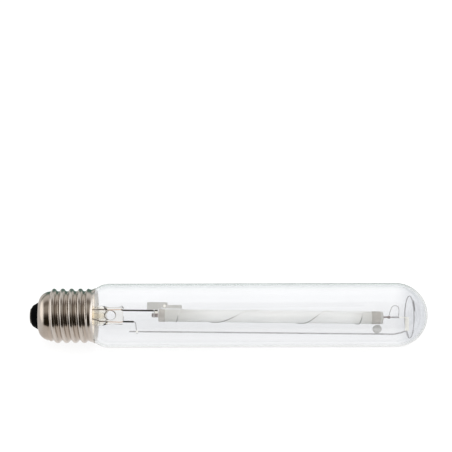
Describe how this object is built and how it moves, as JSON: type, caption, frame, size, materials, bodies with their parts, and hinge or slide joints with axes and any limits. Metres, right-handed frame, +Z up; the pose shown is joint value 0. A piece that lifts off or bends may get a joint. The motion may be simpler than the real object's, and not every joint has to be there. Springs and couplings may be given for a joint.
{
  "type": "grow lamp",
  "caption": "Clear tubular discharge lamp for plant growing: screw cap, glass bulb, ceramic arc tube on a wire frame with getter, starter strip and expansion joint.",
  "frame": {"origin": "lamp axis at the plane of the centre contact", "axes": "+X along the lamp axis from the centre contact to the dome, +Z up with the lamp lying on its side"},
  "size_m": [0.2859, 0.046, 0.046],
  "materials": {
    "clear_glass": "clear, fire-polished",
    "stem_glass": "clear, slightly yellow where it was worked",
    "nickel_cap": "bright nickel plating, rolled",
    "black_vitrite": "glossy black glass",
    "contact_brass": "satin",
    "tin_solder": "dull bright",
    "cement": "matt",
    "copper_lead": "drawn copper wire, lightly oxidised",
    "seal_wire": "copper-clad, pink under glass",
    "dark_rod": "drawn nickel-iron rod, dark",
    "nickel_wire": "drawn nickel",
    "nickel_sheet": "rolled nickel sheet",
    "steel_strap": "bright rolled strip",
    "alumina": "translucent sintered alumina, satin",
    "frit": "glassy seal",
    "niobium": "dark, annealed",
    "shield_foil": "dark foil",
    "tungsten": "matt tungsten with emitter coating",
    "amalgam": "liquid-bright metal",
    "getter_steel": "dark steel cup",
    "getter_powder": "pressed grey powder",
    "ignition_tungsten": "drawn wire"
  },
  "bodies": {
    "lamp": {"amalgam_dose": "amalgam", "arc_tube": "alumina", "base_electrode_coil": "tungsten", "base_electrode_rod": "tungsten", "base_end_plug": "alumina", "base_feedthrough": "niobium", "base_frit_seal": "frit", "base_heat_shield": "shield_foil", "cap_insulator": "black_vitrite", "cap_shell": "nickel_cap", "capping_cement": "cement", "centre_contact": "contact_brass", "centre_lead_wire": "copper_lead", "contact_solder": "tin_solder", "cross_strap": "steel_strap", "dome_hoop": "nickel_wire", "exhaust_tube": "stem_glass", "expansion_guide": "nickel_wire", "feedthrough_saddle": "steel_strap", "feedthrough_strap": "nickel_sheet", "flexible_link": "nickel_wire", "frame_link_wire": "nickel_wire", "frame_rod": "nickel_wire", "frame_welds": "steel_strap", "getter_cup": "getter_steel", "getter_fill": "getter_powder", "getter_tab": "nickel_sheet", "hoop_stay": "nickel_wire", "ignition_wire": "ignition_tungsten", "lead_knots": "dark_rod", "lead_tails": "nickel_wire", "lower_lead_rod": "dark_rod", "outer_bulb": "clear_glass", "seal_wires": "seal_wire", "shell_lead_weld": "tin_solder", "shell_lead_wire": "copper_lead", "starter_bracket": "nickel_sheet", "stem_flare": "stem_glass", "stem_press": "stem_glass", "strip_foot": "nickel_sheet", "strip_rivet": "steel_strap", "upper_lead_rod": "dark_rod"},
    "arc_tube_end": {"dome_end_plug": "alumina", "dome_frit_seal": "frit", "dome_feedthrough": "niobium", "dome_electrode_rod": "tungsten", "dome_electrode_coil": "tungsten", "dome_heat_shield": "shield_foil"},
    "starter_strip": {"bimetal_strip": "nickel_sheet"}
  },
  "joints": [
    {"name": "arc_tube_expansion", "type": "slide", "parent": "lamp", "child": "arc_tube_end", "axis": [0.9999, -0.0111, -0.0085], "range_m": [0, 0.0012], "stiffness_N_per_m": 2000, "deforming": ["arc_tube", "flexible_link"]},
    {"name": "starter_bend", "type": "hinge", "parent": "lamp", "child": "starter_strip", "pos_m": [0.09859, 0.0047, 0.00432], "axis": [-0.014, -0.7922, -0.6101], "range_deg": [0, 8], "stiffness_Nm_per_rad": 0.002}
  ]
}
